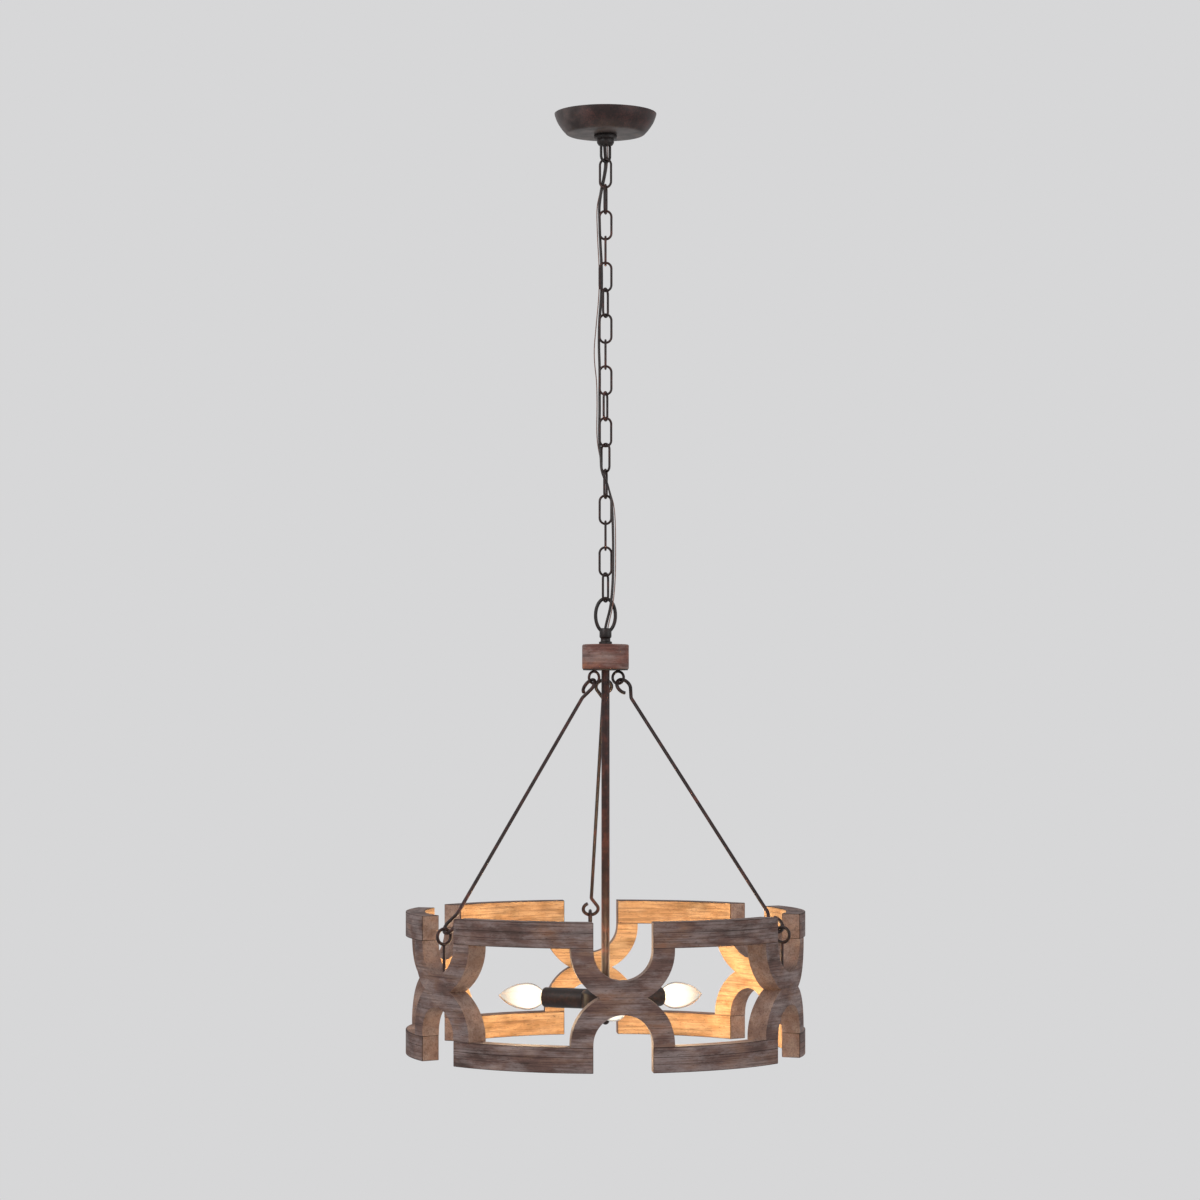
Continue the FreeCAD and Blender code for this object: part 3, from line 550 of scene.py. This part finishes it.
# ---- chain of bent and butted wire links, each a little thinner where its ends meet
reach = chain["inside"] / 2 + chain["wire"] - chain["bend"]
linkPath = (arc((0, 0, reach), (1, 0, 0), (0, 0, 1), chain["bend"], 0, 180, 18)
            + [(-chain["bend"], 0, z) for z in (7, 3.5, 0, -3.5, -7)]
            + arc((0, 0, -reach), (1, 0, 0), (0, 0, 1), chain["bend"], 180, 360, 18)
            + [(chain["bend"], 0, z) for z in (-7, -2, -0.35, 0, 0.35, 2, 7)])
seamAt = len(linkPath) - 4
seamShare = 0.86


def linkThick(share):
    nearSeam = abs(share * (len(linkPath) - 1) - seamAt)
    return chain["wire"] * (seamShare if nearSeam < 0.5 else 1)


for number, turn in enumerate(chain["turns"], start=1):
    top = chain["drop"] - chain["play"] + linkPitch * (number - 1)
    place = Matrix.Translation((0, 0, -(top + chain["inside"] / 2))) @ turnAbout(turn)
    wire = tube([place @ Vector(p) for p in linkPath], linkThick, 16, closed=True)
    makePiece("chainLink%02d" % number, [wire], [chainPaint], "link_%02d" % number,
              ["chain_link_%02d" % number])
print("chain made")

# ---- top loop, coupling, hub and stem
loop = {"wire": 2.25, "halfWidth": 12.6, "halfHeight": 21.55}
middle = loopTop + loop["wire"] - loop["halfHeight"]
loopPath = []
for step in range(-74, 256, 6):         # an oval, open below where its ends meet the collar
    angle = math.radians(step)
    loopPath.append((loop["halfWidth"] * math.cos(angle), 0,
                     middle + loop["halfHeight"] * math.sin(angle)))
makePiece("topLoop", [tube(loopPath, loop["wire"], 20)], [bronze], "fixture",
          ["top_loop"])
couplingTop = hubTop + 20.6
couplingShape = [(3.7, 0), (3.7, -12.6), (5.25, -12.6), (5.25, -20.6), (8.0, -20.6), (8.35, -20.2),
                 (8.35, -17.6), (7.9, -17.1), (6.5, -16.7), (6.2, -16.0), (6.2, -13.2),
                 (6.6, -12.4), (7.4, -11.7), (7.7, -11.0), (7.7, -1.3), (7.3, -0.5), (6.6, 0)]
makePiece("loopCoupling", [lathe([(r, z + couplingTop) for r, z in couplingShape], 48)], [bronze],
          "fixture", ["loop_coupling"])


# Grain coordinates of the turned hub: round it, along its axis and out from it.
def roundGrain(p):
    reach, leastReach = math.hypot(p.x, p.y), 8
    return (math.atan2(p.y, p.x) * max(reach, leastReach), p.z, reach)


hubDepth = 31.4
hubShape = [(5.25, 0)] + [(r, -hubDepth) for r in (5.25, 12, 20, 28.7)]
hubShape += [(29.5, -31.0), (29.75, -30.2), (29.75, -20), (29.75, -10), (29.75, -1.8),
             (29.4, -0.8), (28.4, -0.2), (27.4, 0), (20, 0), (12, 0)]
makePiece("hubDisc", [lathe([(r, z + hubTop) for r, z in hubShape], 96)], [hubWood], "fixture",
          ["hub_disc"], grain=roundGrain)
plateShape = [(5.25, 0), (5.25, -1.5), (28.4, -1.5), (28.8, -1.1), (28.8, -0.3), (28.5, 0)]
makePiece("hubPlate", [lathe([(r, z + hubTop - hubDepth) for r, z in plateShape], 96)], [bronze],
          "fixture", ["hub_plate"])
stem = {"above": 8, "foot": clusterHeight + 9, "bore": 4.05, "radius": 5.25}
stemTop = hubTop + stem["above"]
stemShape = [(stem["bore"], stemTop), (stem["bore"], stem["foot"]),
             (stem["radius"] - 0.2, stem["foot"]), (stem["radius"], stem["foot"] + 0.4),
             (stem["radius"], stemTop)]
makePiece("stemTube", [lathe(stemShape, 32)], [stemPaint],
          "fixture", ["stem"])

rods = {"rod_left": {"turn": -55.2, "lean": 0}, "rod_right": {"turn": 64.8, "lean": -26},
        "rod_back": {"turn": 184.8, "lean": 0}}
eyes = {"hubBend": 7.75, "hubWire": 1.75, "hubReach": 17.75, "ringBend": 9.5, "ringWire": 2,
        "screw": 1.85, "ringReach": 242}
for rod in rods.values():
    rod["hubEye"] = radialAt(rod["turn"], eyes["hubReach"], hubEyeHeight)
    rod["ringEye"] = radialAt(rod["turn"], eyes["ringReach"], ringEyeHeight)
hubEyeShapes, ringEyeShapes = [], []
for rod in rods.values():
    out = radialAt(rod["turn"], 1)
    hubEyeShapes.append(tube(arc(rod["hubEye"], out, (0, 0, 1), eyes["hubBend"], 0, 351, 39),
                             eyes["hubWire"], 16, closed=True))
    stub = rod["hubEye"] + Vector((0, 0, eyes["hubBend"]))
    hubEyeShapes.append(tube([stub + Vector((0, 0, z)) for z in (0, 3, 17)], eyes["hubWire"], 16))
    ringEyeShapes.append(tube(arc(rod["ringEye"], out, (0, 0, 1), eyes["ringBend"], 0, 351, 39),
                              eyes["ringWire"], 16, closed=True))
    stub = rod["ringEye"] - Vector((0, 0, eyes["ringBend"]))
    ringEyeShapes.append(tube([stub - Vector((0, 0, z)) for z in (0, 2, 4, 6, 9, 20, 36, 51.5)],
                              eyes["screw"], 16))
makePiece("hubEyes", hubEyeShapes, [chainPaint], "fixture", ["hub_eyes"])
makePiece("ringEyes", ringEyeShapes, [chainPaint], "ring", ["ring_eyes"])

hook = {"bend": 10, "reach": 18, "sweep": 277, "wire": 2.25, "play": 0.2, "kink": 6}
for name, rod in rods.items():
    along = (rod["hubEye"] - rod["ringEye"]).normalized()
    across = turnAbout(rod["turn"]) @ Vector((1, 0, 0))
    across = Matrix.Rotation(math.radians(rod["lean"]), 4, along) @ across
    start = math.degrees(math.acos(hook["bend"] / hook["reach"])) - 90
    ends = []
    for end, up, side in (("hub", along, across), ("ring", -along, -across)):
        inset = (eyes[end + "Bend"] - eyes[end + "Wire"] - hook["wire"] - hook["play"]
                 + hook["bend"])
        middle = rod[end + "Eye"] - up * inset
        curl = arc(middle, side, up, hook["bend"], start + hook["sweep"], start, 36)
        ends.append((curl, middle - up * hook["reach"]))
    (topCurl, topKink), (lowCurl, lowKink) = ends
    path = (topCurl + roundedBend(topCurl[-1], topKink, lowKink, hook["kink"])
            + roundedBend(topKink, lowKink, lowCurl[-1], hook["kink"]) + lowCurl[::-1])
    makePiece("wire_" + name, [tube(path, hook["wire"], 18)], [chainPaint], name,
              [name])
print("hanging parts made")

# ---- lamp cluster
bodyShape = [(0, 7.8), (5.25, 7.8), (5.25, 15), (20.5, 15), (22.5, 14.6), (30, 9.8), (31, 8.4),
             (31, -9.2), (30.4, -10.6), (24.8, -14.6), (23, -15.3), (12.6, -16.9), (11.6, -17),
             (2.5, -17), (2.5, -12), (0, -12)]
makePiece("clusterBody", [lathe([(r, z + clusterHeight) for r, z in bodyShape], 96)], [bronze],
          "fixture", ["cluster_body"])
finialShape = [(0, -12), (2.5, -12), (2.5, -17), (5.6, -17), (6, -17.5), (6, -18.1), (5.2, -18.7),
               (3.4, -19.6), (3, -20.6), (3, -22.2)]
ball = {"radius": 5, "centre": -27}
finialShape += [(ball["radius"] * math.sin(math.radians(a)),
                 ball["centre"] + ball["radius"] * math.cos(math.radians(a)))
                for a in range(45, 166, 15)] + [(0, ball["centre"] - ball["radius"])]
makePiece("finialBall", [lathe([(r, z + clusterHeight) for r, z in finialShape], 40,
                               closed=False)],
          [bronze], "fixture", ["finial"])
arms = {"front": 4.8, "right": 124.8, "left": -115.2}
sleeve = {"radius": 12.75, "bore": 11.55, "start": 26, "length": 60.5}
sleeveShape = ([(sleeve["bore"], 0)] + [(sleeve["radius"], z) for z in (0, 20, 40, 58.6)]
               + [(12.5, 59.6), (12.0, 60.3)]
               + [(sleeve["bore"], z) for z in (sleeve["length"], 40, 20)])
lamp = {"start": 62, "cap": 20, "neck": 7, "radius": 17.5, "length": 71, "wall": 0.8,
        "power": 1.75, "lightSize": 0.009, "lightAt": 48, "warmth": "#ffdcae"}
# Height above the cap and the share of the radius there.
rise = [(8, 0.51), (12, 0.655), (16, 0.80), (20, 0.905), (24, 0.972), (28, 1.0), (33, 0.992),
        (38, 0.952), (43, 0.905), (49, 0.80), (55, 0.655), (60, 0.50), (64.5, 0.32), (68, 0.165),
        (70.2, 0.06)]
envelope = ([(lamp["neck"], lamp["cap"])]
            + [(lamp["radius"] * share, lamp["cap"] + z) for z, share in rise]
            + [(0, lamp["cap"] + lamp["length"])])
innerEnvelope = [(max(r - lamp["wall"], 0), z - 0.35) for r, z in envelope[1:-1]] + [(0, 89.4)]
glowShape = ([(0, 22)] + [(max(r * 0.93 - 0.9, 0), z * 0.985) for r, z in envelope[1:-1]]
             + [(0, 88.5)])
capShape = [(0, 0), (2.5, 0), (2.5, 1.5), (6, 3)]
for z in (4.5 + 2.2 * k for k in range(6)):     # rolled screw thread of the cap
    capShape += [(6.0, z), (5.55, z + 0.8), (6.0, z + 1.6)]
capShape += [(6, 18.5), (lamp["neck"], 19), (lamp["neck"], lamp["cap"]), (0, lamp["cap"])]
sleeveShapes = []
for arm, azimuth in arms.items():
    outwards = (Matrix.Translation((0, 0, clusterHeight)) @ turnAbout(azimuth)
                @ Matrix.Rotation(math.radians(90), 4, "X"))
    sleeveShapes.append(lathe(sleeveShape, 64,
                              outwards @ Matrix.Translation((0, 0, sleeve["start"]))))
    seat = outwards @ Matrix.Translation((0, 0, lamp["start"]))
    shell = lathe(envelope + innerEnvelope[::-1] + [(lamp["neck"] - lamp["wall"], lamp["cap"])],
                  64, seat)
    envelopePiece = makePiece("bulbGlass_" + arm, [shell], [glass], "bulb_" + arm,
                              ["bulb_" + arm], sharp=60)
    envelopePiece.visible_shadow = False
    makePiece("bulbCap_" + arm, [lathe(capShape, 32, seat)], [nickel], "bulb_" + arm)
    back = seat.inverted()
    glowPiece = makePiece("bulbGlow_" + arm, [lathe(glowShape, 48, seat, closed=False)],
                          [glow], "bulb_" + arm, sharp=60,
                          grain=lambda p, b=back: (((b @ p).z - lamp["cap"]) / lamp["length"],
                                                   0, 0))
    glowPiece.visible_shadow = False
    glowPiece.visible_diffuse = False
    bulbLight = bpy.data.lights.new("bulbLight_" + arm, "POINT")
    bulbLight.energy = lamp["power"]
    bulbLight.color = paint(lamp["warmth"])[:3]
    bulbLight.shadow_soft_size = lamp["lightSize"]
    holder = bpy.data.objects.new("bulbLight_" + arm, bulbLight)
    holder.location = (seat @ Vector((0, 0, lamp["lightAt"]))) / 1000
    bpy.context.scene.collection.objects.link(holder)
makePiece("socketSleeves", sleeveShapes, [bronze], "fixture", ["socket_sleeves"])
print("lamps made")

# ---- wooden ring: rails and crosses
ring = {"outer": 254, "inner": 230, "half": 90, "rail": 31, "archCentre": 56, "archOuter": 62.5,
        "archInner": 36, "firstTurn": 4.8}
seam = ring["half"] - ring["rail"]


# Corners of the cross seen from outside, going round its edge.
def crossOutline():
    c, big, small = ring["archCentre"], ring["archOuter"], ring["archInner"]
    down = math.degrees(math.atan2(-c, math.sqrt(big ** 2 - c ** 2)))
    flat = (1, 0, 0), (0, 1, 0)
    points = [(small, seam), (big, seam)]
    points += arc((0, c, 0), *flat, big, 0, down, 14)
    points += arc((0, -c, 0), *flat, big, -down, 0, 14)[1:]
    points += [(big, -seam), (small, -seam)]
    points += arc((0, -c, 0), *flat, small, 0, 180, 32)
    points += [(-small, -seam), (-big, -seam)]
    points += arc((0, -c, 0), *flat, big, 180, 180 + down, 14)
    points += arc((0, c, 0), *flat, big, 180 - down, 180, 14)[1:]
    points += [(-big, seam), (-small, seam)]
    points += arc((0, c, 0), *flat, small, 180, 360, 32)
    return [(p[0], p[1]) for p in points]


# The cross as a curved board: cut flat in strips, then wrapped to the ring's radii. The cuts
# lie a hair beside the round numbers, where the outline has its points.
def crossShape():
    aside = 0.01
    work = bmesh.new()
    outline = crossOutline()
    rim = [work.verts.new((x, 0, z)) for x, z in outline]
    work.faces.new(rim)
    for x in range(-60, 61, 5):
        geometry = work.verts[:] + work.edges[:] + work.faces[:]
        bmesh.ops.bisect_plane(work, geom=geometry, plane_co=(x + aside, 0, 0), plane_no=(1, 0, 0))
    for z in range(-54, 55, 9):
        geometry = work.verts[:] + work.edges[:] + work.faces[:]
        bmesh.ops.bisect_plane(work, geom=geometry, plane_co=(0, 0, z + aside), plane_no=(0, 0, 1))
    bmesh.ops.triangulate(work, faces=work.faces[:])
    work.verts.ensure_lookup_table()
    flat = [v.co.copy() for v in work.verts]
    faces = [[v.index for v in f.verts] for f in work.faces]
    border = [(e.verts[0].index, e.verts[1].index) for e in work.edges if e.is_boundary]
    work.free()
    count = len(flat)
    points = []
    for radius in (ring["outer"], ring["inner"]):
        points += [Vector((p.x, -math.sqrt(radius ** 2 - p.x ** 2), p.z)) for p in flat]
    kinds = [0] * len(faces) + [2] * len(faces) + [3] * len(border)
    faces = faces + [[i + count for i in face] for face in faces]
    faces += [[a, b, b + count, a + count] for a, b in border]
    return points, faces, kinds


# A curved rail between two crosses, its ends cut square to the crosses' faces.
def railShape(low, high, middle):
    points, faces, steps = [], [], 40
    levels = [low, low + 10.2, low + 10.6, low + 18.4, low + 19.1, high]
    rim = ([(ring["outer"], z) for z in levels] + [(ring["inner"], z) for z in levels[::-1]])
    kinds = [0, 1, 0, 1, 0, 0, 2, 2, 2, 2, 2, 0]       # glue lines show dark on the outside
    for step in range(steps + 1):
        share = step / steps
        for radius, z in rim:
            cut = math.degrees(math.asin(ring["archInner"] / radius))
            azimuth = middle - 30 + cut + (60 - 2 * cut) * share
            points.append(radialAt(azimuth, radius, z))
    sides = len(rim)
    for step in range(steps):
        for k in range(sides):
            faces.append([step * sides + k, step * sides + (k + 1) % sides,
                          (step + 1) * sides + (k + 1) % sides, (step + 1) * sides + k])
    for end in (0, steps * sides):
        faces += [[end + k, end + k + 1, end + sides - 2 - k, end + sides - 1 - k]
                  for k in range(5)]
    return points, faces, kinds * steps + [3] * 10


# Grain coordinates: along the bent board, across it, and through it. The offset moves each board
# to wood of its own.
def boardGrain(offset):
    middleRadius = (ring["outer"] + ring["inner"]) / 2

    def grain(p):
        azimuth = math.atan2(p.x, -p.y)
        return (azimuth * middleRadius + offset * 137, p.z + offset * 61, math.hypot(p.x, p.y))
    return grain


crossPoints, crossFaces, crossKinds = crossShape()
boardFinish = [wood, woodEdge, bulbLitInnerWood, woodCut]
for number in range(6):
    azimuth = ring["firstTurn"] + 60 * number
    place = Matrix.Translation((0, 0, ringHeight)) @ turnAbout(azimuth)
    makePiece("latticeCross%d" % (number + 1), [([place @ p for p in crossPoints], crossFaces,
                                                 crossKinds)],
              boardFinish, "ring", ["cross_%d" % (number + 1)], bevel=0.7,
              grain=boardGrain(number + 1))
    for name, low, woodFrom in (("top_rail", seam, 11), ("bottom_rail", -ring["half"], 21)):
        shape = railShape(ringHeight + low, ringHeight + low + ring["rail"], azimuth + 30)
        makePiece("%sBoard%d" % (name.split("_")[0], number + 1), [shape], boardFinish,
                  "ring", ["%s_%d" % (name, number + 1)], bevel=0.7,
                  grain=boardGrain(number + woodFrom))
print("ring made")

# ---- light: a pale room and floor, and one soft lamp from the front left
floor = {"height": -3.2, "half": 8, "glow": 0.4}         # metres
floorMesh = bpy.data.meshes.new("paleFloor")
floorMesh.from_pydata([(x * floor["half"], y * floor["half"], floor["height"])
                       for x, y in ((-1, -1), (1, -1), (1, 1), (-1, 1))], [], [(0, 1, 2, 3)])
plaster, plasterShader = newMaterial("mattPlaster", {"Roughness": 0.9,
                                                     "Emission Color": paint("#d7d7d8")})
cloudy = addNode(plaster, "TexNoise", {}, {"Scale": 3, "Detail": 3}).outputs[0]
plasterTone = addNode(plaster, "ValToRGB", {"stops": [(0.3, "#d4d4d3"), (0.7, "#dcdcdb")]},
                      {0: cloudy}).outputs[0]
plaster.node_tree.links.new(plasterTone, plasterShader.inputs["Base Color"])
onlySeen = addNode(plaster, "LightPath").outputs["Is Camera Ray"]       # paleness, not light
floorGlow = addNode(plaster, "Math", {"operation": "MULTIPLY"}, {0: onlySeen, 1: floor["glow"]})
plaster.node_tree.links.new(floorGlow.outputs[0], plasterShader.inputs["Emission Strength"])
floorMesh.materials.append(plaster)
floorPiece = bpy.data.objects.new("paleFloor", floorMesh)
bpy.context.scene.collection.objects.link(floorPiece)
world = bpy.data.worlds.new("paleRoom")
bpy.context.scene.world = world
world.use_nodes = True
tree = world.node_tree
rays = addNode(world, "LightPath").outputs
seen = rays["Is Camera Ray"]
for ray in ("Is Glossy Ray", "Is Transmission Ray"):
    seen = addNode(world, "Math", {"operation": "MAXIMUM"}, {0: seen, 1: rays[ray]}).outputs[0]
shown = addNode(world, "Background", {}, {"Color": paint("#d7d7d8"), "Strength": 1}).outputs[0]
lit = addNode(world, "Background", {}, {"Color": paint("#f3f4f6"), "Strength": 0.62}).outputs[0]
room = addNode(world, "MixShader", {}, {0: seen, 1: lit, 2: shown}).outputs[0]
tree.links.new(room, tree.nodes["World Output"].inputs["Surface"])
for name, spot, aim, size, power in (("keyPanel", (-2.2, -2.6, 0.9), (0, 0, -0.7), 1.6, 62),
                                     ("fillPanel", (2.6, -1.6, -0.4), (0, 0, -0.9), 1.8, 22)):
    panel = bpy.data.lights.new(name, "AREA")
    panel.size = size
    panel.energy = power
    holder = bpy.data.objects.new(name, panel)
    holder.location = spot
    holder.rotation_euler = (Vector(aim) - Vector(spot)).to_track_quat("-Z", "Y").to_euler()
    bpy.context.scene.collection.objects.link(holder)
bpy.context.scene.view_settings.view_transform = "Standard"
print("lights set")
